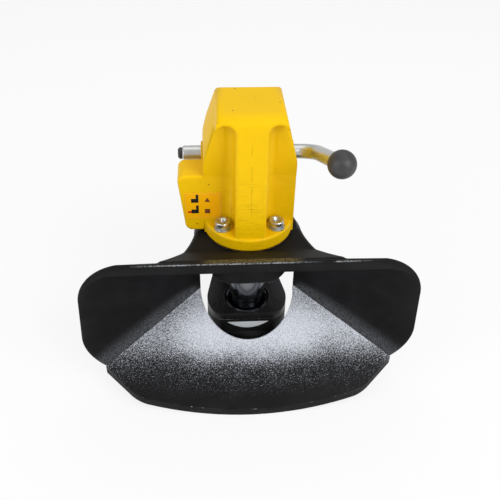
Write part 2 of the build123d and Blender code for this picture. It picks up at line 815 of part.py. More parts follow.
with BuildPart() as casing:
    with BuildSketch(Plane.XZ.offset(-housing_back)):
        add(housing_front(0, housing_top))
    extrude(amount=front_reach)
    with BuildSketch(Plane.YZ.offset(-housing_half_width)) as side_view:
        with BuildLine():
            Polyline(
                (rib_front_foot, housing_base),
                (rib_front_head, housing_top),
                (housing_top_back, housing_top),
                (housing_back, housing_back_shoulder),
                (housing_back, housing_base),
                close=True,
            )
        make_face()
        fillet(side_view.vertices().group_by(Axis.Y)[-1], radius=brow_radius)
    extrude(amount=2 * housing_half_width, mode=Mode.INTERSECT)
    back_edges = casing.faces().sort_by(Axis.Y)[-1].edges().filter_by_position(
        Axis.Z, skirt_top, housing_back_shoulder - face_gap
    )
    fillet(back_edges, radius=casing_fillet)

with BuildPart() as indicator_box:
    with BuildSketch(Plane.XZ.offset(-box_back)) as box_view:
        with BuildLine():
            Polyline(
                (box_left, box_top),
                (box_foot_left, box_bottom),
                (-rib_half_width, box_bottom),
                (-rib_half_width, box_top),
                close=True,
            )
        make_face()
        fillet(box_view.vertices().sort_by(Axis.X)[:2], radius=box_corner_radius)
    extrude(amount=box_back - box_front)
    box_rim = indicator_box.faces().filter_by(Axis.Y).edges().filter_by_position(
        Axis.X, box_left, -rib_half_width - face_gap
    )
    fillet(box_rim, radius=box_edge_fillet)

with BuildPart() as base_skirt:
    with BuildSketch(Plane.XY.offset(housing_base)) as skirt:
        Circle(housing_half_width)
        with Locations((0, housing_back / 2)):
            Rectangle(2 * housing_half_width, housing_back)
        with Locations((0, skirt_flange_back / 2)):
            Rectangle(2 * skirt_flange_half_width, skirt_flange_back)
        fillet(skirt.vertices().group_by(Axis.Y)[-1], radius=web_corner_radius)
    extrude(amount=skirt_height)
    fillet(base_skirt.faces().sort_by(Axis.Z)[-1].edges(), radius=skirt_fillet)

with BuildPart() as mechanism_housing:
    add(casing.part)
    for side_pocket in (pocket.part, pocket.part.mirror(Plane.YZ)):
        add(side_pocket, mode=Mode.SUBTRACT)
    rib_fronts = ShapeList()
    for side in (-rib_half_width, rib_half_width):
        rib_fronts += (
            mechanism_housing.edges()
            .filter_by_position(Axis.X, side - face_gap, side + face_gap)
            .filter_by_position(Axis.Y, rib_front_foot - face_gap, rib_front_head + face_gap)
        )
    fillet(rib_fronts, radius=rib_fillet)
    add(indicator_box.part)
    add(base_skirt.part)
    add(chamber.part, mode=Mode.SUBTRACT)
    with BuildSketch(Plane.XY.offset(housing_base)):
        Circle(cavity_radius)
    extrude(amount=stem_cavity_top - housing_base, mode=Mode.SUBTRACT)
    with BuildSketch(Plane.XY.offset(stem_cavity_top)):
        Circle(pin_shank_radius + swing_gap)
    extrude(amount=cavity_top - stem_cavity_top, mode=Mode.SUBTRACT)
    with BuildSketch(Plane.YZ.offset(-arm_slot_half_width)):
        with Locations((arm_slot_back, (arm_slot_foot + arm_slot_head) / 2)):
            Rectangle(
                arm_slot_back - arm_slot_front,
                arm_slot_head - arm_slot_foot,
                align=(Align.MAX, Align.CENTER),
            )
    extrude(amount=2 * arm_slot_half_width, mode=Mode.SUBTRACT)
    with BuildSketch(Plane.YZ.offset(-housing_half_width)):
        with Locations((lever_y, lever_z)):
            Circle(bush_bore)
    extrude(amount=2 * housing_half_width, mode=Mode.SUBTRACT)
    with BuildSketch(Plane.YZ.offset(box_left)):
        with Locations((indicator_y, indicator_z)):
            Circle(indicator_radius + indicator_sleeve_wall + press_gap)
    extrude(amount=-box_left, mode=Mode.SUBTRACT)
    with BuildSketch(Plane.YZ.offset(box_foot_left + box_wall)):
        with Locations((indicator_y, indicator_z)):
            Rectangle(2 * box_chamber_half_width, 2 * box_chamber_half_height)
    extrude(amount=-box_foot_left - box_wall - rib_half_width, mode=Mode.SUBTRACT)
    with BuildSketch(Plane.XY.offset(housing_base)):
        with Locations(*housing_bolt_places):
            Circle(bolt_thread_radius + face_gap)
    extrude(amount=skirt_height, mode=Mode.SUBTRACT)
mechanism_housing.part.label = "mechanism_housing"
export_step(mechanism_housing.part, "parts/mechanism_housing.step")

# Gaskets under the housing, one on the hub and one on the web
with BuildPart() as housing_gasket:
    with BuildSketch(Plane.XY.offset(hub_top)):
        Circle(hub_radius)
        Circle(bush_outer_radius + press_gap, mode=Mode.SUBTRACT)
        with Locations(*housing_bolt_places[:2]):
            Circle(bolt_thread_radius + face_gap, mode=Mode.SUBTRACT)
    extrude(amount=gasket_thickness)
    web_seat_front = ring_outer_radius + 2 * swing_gap
    with BuildSketch(Plane.XY.offset(hub_top)):
        with Locations((0, (web_seat_front + skirt_flange_back) / 2)):
            Rectangle(2 * web_half_width, skirt_flange_back - web_seat_front)
        with Locations(*housing_bolt_places[2:]):
            Circle(bolt_thread_radius + face_gap, mode=Mode.SUBTRACT)
    extrude(amount=gasket_thickness)
housing_gasket.part.label = "housing_gasket"
export_step(housing_gasket.part, "parts/housing_gasket.step")

# Housing bolts, socket heads on plain washers
head_foot = skirt_top + washer_thickness
with BuildPart() as housing_washers:
    with BuildSketch(Plane.XY.offset(skirt_top)):
        with Locations(*housing_bolt_places):
            Circle(washer_radius)
            Circle(bolt_thread_radius + face_gap, mode=Mode.SUBTRACT)
    extrude(amount=washer_thickness)
housing_washers.part.label = "housing_washers"
export_step(housing_washers.part, "parts/housing_washers.step")

with BuildPart() as housing_bolts:
    with BuildSketch(Plane.XY.offset(head_foot)):
        with Locations(*housing_bolt_places):
            Circle(bolt_head_radius)
    extrude(amount=bolt_head_height)
    chamfer(housing_bolts.edges().group_by(Axis.Z)[-1], length=bolt_head_chamfer)
    with BuildSketch(Plane.XY.offset(head_foot + bolt_head_height)):
        with Locations(*housing_bolt_places):
            RegularPolygon(bolt_socket_flats / 2, 6, major_radius=False)
    extrude(amount=-bolt_socket_depth, mode=Mode.SUBTRACT)
    with BuildSketch(Plane.XY.offset(head_foot)):
        with Locations(*housing_bolt_places):
            Circle(bolt_thread_radius - press_gap)
    extrude(amount=hub_top - bolt_grip + swing_gap - head_foot)
housing_bolts.part.label = "housing_bolts"
export_step(housing_bolts.part, "parts/housing_bolts.step")

# Hand lever: one bar through the housing, bent forward to the knob
rise = math.radians(lever_arm_rise)
splay = math.radians(lever_arm_splay)
arm_direction = Vector(
    math.cos(rise) * math.sin(splay),
    -math.cos(rise) * math.cos(splay),
    math.sin(rise),
)
lever_corner = Vector(lever_bend_x, lever_y, lever_z)
knob_centre = lever_corner + arm_direction * lever_arm_length
lever_end = knob_centre + arm_direction * knob_bore_past_centre
with BuildPart() as lever_bar:
    with BuildLine() as lever_path:
        FilletPolyline(
            (lever_left, lever_y, lever_z), lever_corner, lever_end, radius=lever_bend_radius
        )
    with BuildSketch(Plane.YZ.offset(lever_left)):
        with Locations((lever_y, lever_z)):
            Circle(lever_radius)
    sweep(path=lever_path.wires()[0])
    chamfer(lever_bar.edges().group_by(Axis.X)[0], length=lever_chamfer)
lever_bar.part.label = "lever_bar"
export_step(lever_bar.part, "parts/lever_bar.step")

with BuildPart() as ball_knob:
    with Locations(knob_centre):
        Sphere(knob_radius)
    with BuildSketch(Plane(lever_end, z_dir=-arm_direction)):
        Circle(lever_radius + press_gap)
    extrude(amount=2 * knob_radius, mode=Mode.SUBTRACT)
ball_knob.part.label = "ball_knob"
export_step(ball_knob.part, "parts/ball_knob.step")

with BuildPart() as lever_end_plug:
    with BuildSketch(Plane.YZ.offset(lever_left)):
        with Locations((lever_y, lever_z)):
            Circle(lever_radius - lever_chamfer)
    extrude(amount=-end_plug_length)
    chamfer(lever_end_plug.edges().group_by(Axis.X)[0], length=lever_chamfer)
lever_end_plug.part.label = "lever_end_plug"
export_step(lever_end_plug.part, "parts/lever_end_plug.step")

# Flanged bushes of the lever in the side walls
with BuildPart() as lever_bush_left:
    bush_inner_end = housing_half_width - chamber_wall - lever_bush_flange_thickness
    bush_bore_gap = lever_radius + running_gap
    with BuildSketch(Plane.YZ.offset(-housing_half_width)):
        with Locations((lever_y, lever_z)):
            Circle(bush_bore - press_gap)
            Circle(bush_bore_gap, mode=Mode.SUBTRACT)
    extrude(amount=housing_half_width - bush_inner_end)
    with BuildSketch(Plane.YZ.offset(-housing_half_width)):
        with Locations((lever_y, lever_z)):
            Circle(lever_radius + lever_bush_flange)
            Circle(bush_bore_gap, mode=Mode.SUBTRACT)
    extrude(amount=-lever_bush_flange_thickness)
lever_bush_left.part.label = "lever_bush_left"
export_step(lever_bush_left.part, "parts/lever_bush_left.step")

with BuildPart() as lever_bush_right:
    add(lever_bush_left.part.mirror(Plane.YZ))
lever_bush_right.part.label = "lever_bush_right"
export_step(lever_bush_right.part, "parts/lever_bush_right.step")

# Closing spring, coiled round the lever shaft beside the arm
with BuildPart() as closing_spring:
    coil_radius = lever_radius + spring_clearance + spring_wire_radius
    coil_start = arm_thickness / 2 + face_gap + spring_wire_radius
    coil_end = bush_inner_end - face_gap - spring_wire_radius
    coil_length = coil_end - coil_start
    with BuildLine() as coil:
        Helix(
            pitch=coil_length / spring_turns,
            height=coil_length,
            radius=coil_radius,
            center=(coil_start, lever_y, lever_z),
            direction=(1, 0, 0),
        )
    with BuildSketch(Plane(coil.line @ 0, z_dir=coil.line % 0)):
        Circle(spring_wire_radius)
    sweep(path=coil.line)
closing_spring.part.label = "closing_spring"
export_step(closing_spring.part, "parts/closing_spring.step")

# Indicator pin in its sleeve
with BuildPart() as indicator_sleeve:
    with BuildSketch(Plane.YZ.offset(box_left + sleeve_inset)):
        with Locations((indicator_y, indicator_z)):
            Circle(indicator_radius + indicator_sleeve_wall)
            Circle(indicator_radius + running_gap, mode=Mode.SUBTRACT)
    extrude(amount=sleeve_length)
indicator_sleeve.part.label = "indicator_sleeve"
export_step(indicator_sleeve.part, "parts/indicator_sleeve.step")

with BuildPart() as indicator_pin:
    with BuildSketch(Plane.YZ.offset(box_left + sleeve_inset)):
        with Locations((indicator_y, indicator_z)):
            Circle(indicator_radius)
    extrude(amount=indicator_length)
    with BuildSketch(Plane.YZ.offset(box_left + sleeve_inset + indicator_length)):
        with Locations((indicator_y, indicator_z)):
            Circle(indicator_radius + indicator_shoulder)
    extrude(amount=cast_radius)
indicator_pin.part.label = "indicator_pin"
export_step(indicator_pin.part, "parts/indicator_pin.step")

# Instruction label on the front of the box
with BuildPart() as instruction_label:
    with BuildSketch(Plane.XZ.offset(-box_front)):
        with Locations((label_x, label_z)):
            RectangleRounded(label_width, label_height, radius=label_corner)
    extrude(amount=label_thickness)
instruction_label.part.label = "instruction_label"
export_step(instruction_label.part, "parts/instruction_label.step")

# Split pin through the castle nut and the thread
with BuildPart() as split_pin:
    eye_outer = split_pin_eye_radius + split_pin_radius
    eye_x = -nut_crown_radius - eye_outer - face_gap
    with BuildSketch(Plane.YZ.offset(eye_x + split_pin_eye_radius)):
        with Locations((split_y, 0)):
            Circle(split_pin_radius)
    extrude(amount=2 * nut_crown_radius + eye_outer)
    with BuildSketch(Plane.XZ.offset(-split_y)):
        with Locations((eye_x, 0)):
            Circle(eye_outer)
            Circle(split_pin_eye_radius - split_pin_radius, mode=Mode.SUBTRACT)
    extrude(amount=split_pin_radius, both=True)
split_pin.part.label = "split_pin"
export_step(split_pin.part, "parts/split_pin.step")
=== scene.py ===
"""Visual model of an automatic pin coupling: finishes, printed label, wear and studio.

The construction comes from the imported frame. This script dresses its nodes and adds the parts of
the surface that belong to the looks. Lengths are metres, the frame is that of the construction.
"""

import json
import logging
import math
from dataclasses import dataclass
from enum import Enum
from typing import Any, Sequence, Union

import bmesh
import bpy
from mathutils import Matrix, Vector

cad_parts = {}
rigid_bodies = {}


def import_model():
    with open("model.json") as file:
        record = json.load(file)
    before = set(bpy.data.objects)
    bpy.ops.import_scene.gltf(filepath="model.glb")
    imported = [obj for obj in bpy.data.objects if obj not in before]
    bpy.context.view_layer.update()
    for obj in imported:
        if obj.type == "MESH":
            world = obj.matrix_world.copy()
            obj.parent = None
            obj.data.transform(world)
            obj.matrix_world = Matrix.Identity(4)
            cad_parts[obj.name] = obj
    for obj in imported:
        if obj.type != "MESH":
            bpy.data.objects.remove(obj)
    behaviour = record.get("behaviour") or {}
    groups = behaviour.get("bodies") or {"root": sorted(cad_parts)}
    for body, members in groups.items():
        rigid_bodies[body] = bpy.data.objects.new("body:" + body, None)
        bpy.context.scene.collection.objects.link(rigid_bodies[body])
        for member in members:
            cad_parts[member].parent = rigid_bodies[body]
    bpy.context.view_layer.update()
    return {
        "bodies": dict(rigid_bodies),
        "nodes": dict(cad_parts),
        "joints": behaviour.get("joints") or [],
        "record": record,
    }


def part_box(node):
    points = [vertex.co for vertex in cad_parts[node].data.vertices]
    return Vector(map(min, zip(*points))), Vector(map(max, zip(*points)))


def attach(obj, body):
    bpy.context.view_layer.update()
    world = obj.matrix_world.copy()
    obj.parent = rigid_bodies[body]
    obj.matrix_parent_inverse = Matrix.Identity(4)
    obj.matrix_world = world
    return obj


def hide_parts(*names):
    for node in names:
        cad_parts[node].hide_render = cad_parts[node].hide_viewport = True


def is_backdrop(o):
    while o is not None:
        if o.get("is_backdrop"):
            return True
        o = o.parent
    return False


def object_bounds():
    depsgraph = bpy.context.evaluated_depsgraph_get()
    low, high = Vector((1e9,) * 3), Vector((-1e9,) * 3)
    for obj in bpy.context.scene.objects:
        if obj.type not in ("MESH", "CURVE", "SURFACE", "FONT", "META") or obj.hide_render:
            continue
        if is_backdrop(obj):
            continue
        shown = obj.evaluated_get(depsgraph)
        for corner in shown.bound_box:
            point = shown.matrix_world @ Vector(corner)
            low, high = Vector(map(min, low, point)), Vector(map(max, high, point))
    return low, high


log = logging.getLogger("coupling")

MM = 0.001
MERGE_REACH = 0.002 * MM  # points closer than this are one
SHARP_ANGLE = 32.0  # degrees, above which an edge stays sharp
BEVEL_SAMPLES = 6  # rays of one rounded normal
EDGE_SPAN = (0.995, 0.86)  # cosine between rounded and flat normal, off an edge and on it
MIX_INPUTS = (0, 6, 7)  # factor and the two colours of a Mix node
MIX_RESULT = 2  # colour output of a Mix node

Colour = tuple[float, float, float]
Span = tuple[float, float]  # values at which a mask is 0 and at which it is 1


class Body(Enum):
    """Moving bodies of the coupling."""

    HEAD = "head"
    FUNNEL = "funnel"
    LEVER = "lever"
    PIN = "pin"
    INDICATOR = "indicator"


class Axis(Enum):
    """Coordinate picked out of a position."""

    X = "X"
    Y = "Y"
    Z = "Z"


class Value:
    """Socket of a shader tree that takes part in Python expressions."""

    def __init__(self, tree: "Shader", socket: bpy.types.NodeSocket) -> None:
        """Keep the tree and the socket that carries the value."""
        self.tree = tree
        self.socket = socket

    def _math(self, operation: str, *others: "Number") -> "Value":
        """Add one Math node on this value and the others."""
        inputs = dict(enumerate((self, *others)))
        return self.tree.node("ShaderNodeMath", {"operation": operation}, inputs)

    def __add__(self, other: "Number") -> "Value":
        """Sum."""
        return self._math("ADD", other)

    __radd__ = __add__

    def __sub__(self, other: "Number") -> "Value":
        """Difference."""
        return self._math("SUBTRACT", other)

    def __rsub__(self, other: "Number") -> "Value":
        """Reflected difference, such as 1 - mask."""
        return self.tree.node("ShaderNodeMath", {"operation": "SUBTRACT"}, {0: other, 1: self})

    def __mul__(self, other: "Number") -> "Value":
        """Product."""
        return self._math("MULTIPLY", other)

    __rmul__ = __mul__

    def __pow__(self, other: "Number") -> "Value":
        """Power."""
        return self._math("POWER", other)

    def __abs__(self) -> "Value":
        """Absolute value."""
        return self._math("ABSOLUTE")

    def least(self, other: "Number") -> "Value":
        """Smaller of two values."""
        return self._math("MINIMUM", other)

    def rise(self, low: float, high: float) -> "Value":
        """Smooth step from 0 at low to 1 at high, falling where low is above high.

        Args:
            low: Value that gives 0.
            high: Value that gives 1.

        Returns:
            The stepped value between 0 and 1.
        """
        ends = (low, high, 0.0, 1.0) if low < high else (high, low, 1.0, 0.0)
        settings = {"interpolation_type": "SMOOTHSTEP"}
        return self.tree.node("ShaderNodeMapRange", settings, dict(enumerate((self, *ends))))


Number = Union[float, Value]


class Shader:
    """Material whose nodes are written as expressions."""

    def __init__(self, name: str) -> None:
        """Start an empty material with one principled surface.

        Args:
            name: Name of the material.
        """
        self.material = bpy.data.materials.new(name)
        self.material.use_nodes = True
        self.links = self.material.node_tree.links
        self.nodes = self.material.node_tree.nodes
        self.nodes.clear()
        self.output = self.nodes.new("ShaderNodeOutputMaterial")
        self.surface = self.nodes.new("ShaderNodeBsdfPrincipled")
        self.links.new(self.surface.outputs[0], self.output.inputs[0])
        self.place = self.node("ShaderNodeTexCoord", output="Object")

    def node(
        self,
        kind: str,
        settings: dict[str, Any] | None = None,
        inputs: dict[Any, Any] | None = None,
        output: Union[str, int] = 0,
    ) -> Value:
        """Add any node.

        Args:
            kind: Type of the node.
            settings: Its own settings, such as a Math node's operation.
            inputs: Values or links of its sockets, by name or number.
            output: Socket that the result is taken from.

        Returns:
            The chosen output.
        """
        made = self.nodes.new(kind)
        for key, setting in (settings or {}).items():
            setattr(made, key, setting)
        for key, given in (inputs or {}).items():
            self._feed(made.inputs[key], given)
        return Value(self, made.outputs[output])

    def _feed(self, socket: bpy.types.NodeSocket, given: Any) -> None:
        """Link a value to a socket, or set it there.

        Args:
            socket: Input to feed.
            given: Link, number, vector, or colour without its alpha.
        """
        if isinstance(given, Value):
            self.links.new(given.socket, socket)
        elif isinstance(given, tuple) and socket.type == "RGBA":
            socket.default_value = (*given, 1.0)
        else:
            socket.default_value = given

    def set(self, **inputs: Any) -> None:
        """Feed sockets of the surface, an underscore standing for a space."""
        for key, given in inputs.items():
            self._feed(self.surface.inputs[key.replace("_", " ")], given)

    def mix(self, factor: Number, first: Any, second: Any) -> Value:
        """Blend two colours.

        Args:
            factor: 0 for the first colour, 1 for the second.
            first: Colour or link.
            second: Colour or link.

        Returns:
            The blended colour.
        """
        made = self.nodes.new("ShaderNodeMix")
        made.data_type = "RGBA"
        for key, given in zip(MIX_INPUTS, (factor, first, second)):
            self._feed(made.inputs[key], given)
        return Value(self, made.outputs[MIX_RESULT])

    def axis(self, which: Axis) -> Value:
        """One coordinate of the surface point, in metres."""
        return self.node("ShaderNodeSeparateXYZ", inputs={0: self.place}, output=which.value)

    def stretched(self, scale: Sequence[float]) -> Value:
        """Object coordinates scaled along each axis."""
        inputs = {0: self.place, 1: tuple(scale)}
        return self.node("ShaderNodeVectorMath", {"operation": "MULTIPLY"}, inputs)

    def noise(
        self, grain: float, detail: float = 3.0, where: Value | None = None, rough: float = 0.55
    ) -> Value:
        """Cloudy noise about one half.

        Args:
            grain: Size of a cloud in metres.
            detail: Number of finer layers.
            where: Coordinates to use in place of the object's own.
            rough: Weight of the finer layers.

        Returns:
            The noise.
        """
        inputs = {"Scale": 1.0 / grain, "Detail": detail, "Roughness": rough}
        inputs["Vector"] = where or self.place
        return self.node("ShaderNodeTexNoise", inputs=inputs)

    def cells(self, grain: float) -> Value:
        """Distance to the nearest of scattered points, in cells."""
        inputs = {"Vector": self.place, "Scale": 1.0 / grain}
        return self.node("ShaderNodeTexVoronoi", inputs=inputs)

    def rounded(self, radius: float) -> Value:
        """Normal of the surface with its edges rounded."""
        return self.node("ShaderNodeBevel", {"samples": BEVEL_SAMPLES}, {"Radius": radius})

    def edges(self, radius: float) -> Value:
        """Mask of the convex edges, from a rounded normal against the flat one.

        Args:
            radius: Reach of the rounding in metres.

        Returns:
            1 at an edge, 0 on open faces.
        """
        flat = self.node("ShaderNodeNewGeometry", output="Normal")
        inputs = {0: self.rounded(radius), 1: flat}
        dot = {"operation": "DOT_PRODUCT"}
        same = self.node("ShaderNodeVectorMath", dot, inputs, output="Value")
        return same.rise(*EDGE_SPAN)

    def relief(self, height: Value, depth: float, radius: float) -> None:
        """Bump over softly rounded edges.

        Args:
            height: Height of the surface, 0 to 1.
            depth: Depth in metres that 0 to 1 stands for.
            radius: Rounding of the edges in metres.
        """
        inputs = {"Height": height, "Distance": depth, "Strength": 1.0}
        inputs["Normal"] = self.rounded(radius)
        self.set(Normal=self.node("ShaderNodeBump", inputs=inputs))


@dataclass(frozen=True)
class Enamel:
    """Paint over a rough sand casting: cast ripples, a parting line and a few brown pits.

    The parting line runs between the two heights of parting_ends.
    """

    name: str
    colour: Colour
    deep: Colour
    shade: float = 0.62
    cloud: float = 30.0 * MM
    cloud_span: Span = (0.34, 0.7)
    grain: float = 1.6 * MM
    gloss: float = 0.36
    depth: float = 0.3 * MM
    rounding: float = 2.0 * MM
    pit: Colour = (0.22, 0.11, 0.008)
    pit_spacing: float = 21.0 * MM
    pit_span: Span = (0.075, 0.03)
    ripple: float = 3.0 * MM
    ripple_span: Span = (200.0 * MM, 165.0 * MM)
    ripple_crest: Span = (0.1, 0.9)
    ripple_drift: float = 5.0 * MM
    drift_size: float = 14.0 * MM
    break_size: float = 5.0 * MM
    break_stretch: tuple[float, float, float] = (0.35, 0.35, 1.0)
    break_span: Span = (0.44, 0.6)
    rib_half: float = 17.0 * MM
    rib_fade: float = 4.0 * MM
    off_rib: float = 0.35
    parting_ends: tuple[float, float] = (130.0 * MM, 235.0 * MM)
    parting_fade: float = 12.0 * MM
    parting_width: Span = (0.9 * MM, 0.2 * MM)
    parting_front: Span = (-20.0 * MM, -24.0 * MM)
    parting_wander: float = 3.0 * MM
    wander_size: float = 22.0 * MM
    skip_size: float = 6.0 * MM
    skip_span: Span = (0.4, 0.55)

    def lines(self, paint: Shader) -> Value:
        """Fine level lines of the mould, clearest low on the rib.

        Args:
            paint: The material being built.

        Returns:
            Mask of the lines.
        """
        x, z = paint.axis(Axis.X), paint.axis(Axis.Z)
        drifted = z + paint.noise(self.drift_size, 2.0) * self.ripple_drift
        turns = {0: drifted * (math.tau / self.ripple)}
        wave = paint.node("ShaderNodeMath", {"operation": "SINE"}, turns)
        breaks = paint.noise(self.break_size, 3.0, paint.stretched(self.break_stretch))
        rib = abs(x).rise(self.rib_half, self.rib_half - self.rib_fade)
        low = z.rise(*self.ripple_span) * (self.off_rib + (1.0 - self.off_rib) * rib)
        return wave.rise(*self.ripple_crest) * breaks.rise(*self.break_span) * low

    def parting(self, paint: Shader) -> Value:
        """Thin line down the middle of the rib where the mould halves met.

        Args:
            paint: The material being built.

        Returns:
            Mask of the line.
        """
        x, y, z = (paint.axis(which) for which in Axis)
        wander = (paint.noise(self.wander_size, 2.0) - 0.5) * self.parting_wander
        line = abs(x + wander).rise(*self.parting_width) * y.rise(*self.parting_front)
        low, high = self.parting_ends
        ends = z.rise(low, low + self.parting_fade) * z.rise(high, high - self.parting_fade)
        return line * ends * paint.noise(self.skip_size).rise(*self.skip_span)

    def make(self) -> bpy.types.Material:
        """Build the paint.

        Returns:
            The finish.
        """
        paint = Shader(self.name)
        cloud, grain = paint.noise(self.cloud, 4.0), paint.noise(self.grain, 4.0)
        pits = paint.cells(self.pit_spacing).rise(*self.pit_span)
        lines, parting = self.lines(paint), self.parting(paint)
        tone = cloud.rise(*self.cloud_span) * 0.6 + 0.2 * grain
        colour = paint.mix(tone, self.colour, self.deep)
        shade = tuple(part * self.shade for part in self.deep)
        colour = paint.mix((lines * 0.45 + parting * 0.5).least(1.0), colour, shade)
        colour = paint.mix(pits * 0.8, colour, self.pit)
        paint.set(Base_Color=colour, Roughness=self.gloss + 0.2 * grain)
        paint.set(Metallic=0.0, Specular_IOR_Level=0.12, Coat_Weight=0.03, Coat_Roughness=0.25)
        height = 0.35 * grain - 0.55 * lines - 0.6 * parting - 0.8 * pits
        paint.relief(height, self.depth, self.rounding)
        return paint.material


@dataclass(frozen=True)
class BlackCasting:
    """Black paint over cast iron, worn through here and there along its edges."""

    name: str
    colour: Colour = (0.0055, 0.0055, 0.006)
    lighter: float = 2.1
    bare: Colour = (0.62, 0.65, 0.68)
    roughness: float = 0.42
    cloud: float = 34.0 * MM
    cloud_span: Span = (0.35, 0.7)
    grain: float = 1.3 * MM
    lump: float = 5.0 * MM
    depth: float = 0.25 * MM
    rounding: float = 2.0 * MM
    edge_reach: float = 1.6 * MM
    edge_wear: float = 0.5
    wear_grain: float = 0.7 * MM
    wear_span: Span = (0.78, 0.98)

    def extra(
        self, paint: Shader, grain: Value, colour: Value, shine: Value
    ) -> tuple[Value, Value]:
        """Marks of one piece, none on a plain casting.

        Args:
            paint: The material being built; not used here.
            grain: Fine noise of the casting; not used here.
            colour: Colour so far.
            shine: Bare metal so far, 0 to 1.

        Returns:
            The colour and the bare metal with the marks in them.
        """
        return colour, shine

    def worn(self, paint: Shader, cloud: Value) -> Value:
        """Bare metal along the edges, 0 to 1."""
        patches = (cloud * 0.9 + paint.noise(self.wear_grain, 2.0) * 0.7).rise(*self.wear_span)
        return (paint.edges(self.edge_reach) * patches * self.edge_wear).least(1.0)

    def make(self) -> bpy.types.Material:
        """Build the paint and its wear.

        Returns:
            The finish.
        """
        paint = Shader(self.name)
        cloud, grain = paint.noise(self.cloud, 4.0), paint.noise(self.grain, 4.0)
        lighter = tuple(part * self.lighter for part in self.colour)
        tone = cloud.rise(*self.cloud_span) * 0.6 + 0.25 * grain
        colour = paint.mix(tone, self.colour, lighter)
        colour, shine = self.extra(paint, grain, colour, self.worn(paint, cloud))
        paint.set(Base_Color=paint.mix(shine, colour, self.bare), Metallic=shine * 0.85)
        roughness = self.roughness + 0.2 * grain - 0.12 * shine
        paint.set(Roughness=roughness, Specular_IOR_Level=0.1)
        height = 0.7 * grain + 0.5 * paint.noise(self.lump, 3.0)
        paint.relief(height, self.depth, self.rounding)
        return paint.material


@dataclass(frozen=True)
class HeadCasting(BlackCasting):
    """Black head whose lower jaw carries a painted highlight on its front, standing for the light
    on a bare worn chamfer.
    """

    jaw_front: float = -28.0 * MM
    crescent_top: float = -47.0 * MM
    crescent_foot: float = -58.5 * MM
    crescent_half: float = 28.0 * MM
    crescent_fade: float = 1.0 * MM

    def extra(
        self, paint: Shader, grain: Value, colour: Value, shine: Value
    ) -> tuple[Value, Value]:
        """Painted highlight: bright crescent on the front of the lower jaw.

        Args:
            paint: The material being built.
            grain: Fine noise of the casting.
            colour: Colour so far.
            shine: Bare metal so far, 0 to 1.

        Returns:
            The colour with the crescent in it, and the bare metal as it was.
        """
        x, y, z = (paint.axis(which) for which in Axis)
        rise = self.crescent_top - self.crescent_foot
        arch = (x * (1.0 / self.crescent_half)) ** 2.0 * rise
        above = z - self.crescent_foot - arch
        soft = 0.4 * self.crescent_fade
        below = z.rise(self.crescent_top + soft, self.crescent_top - soft)
        front = y.rise(self.jaw_front, self.jaw_front - self.crescent_fade)
        mark = above.rise(0.0, self.crescent_fade) * below * front
        # Painted highlight: the crescent is mixed towards the pale bare colour and stays
        # unmetallic.
        return paint.mix(mark * (0.8 + 0.2 * grain), colour, self.bare), shine


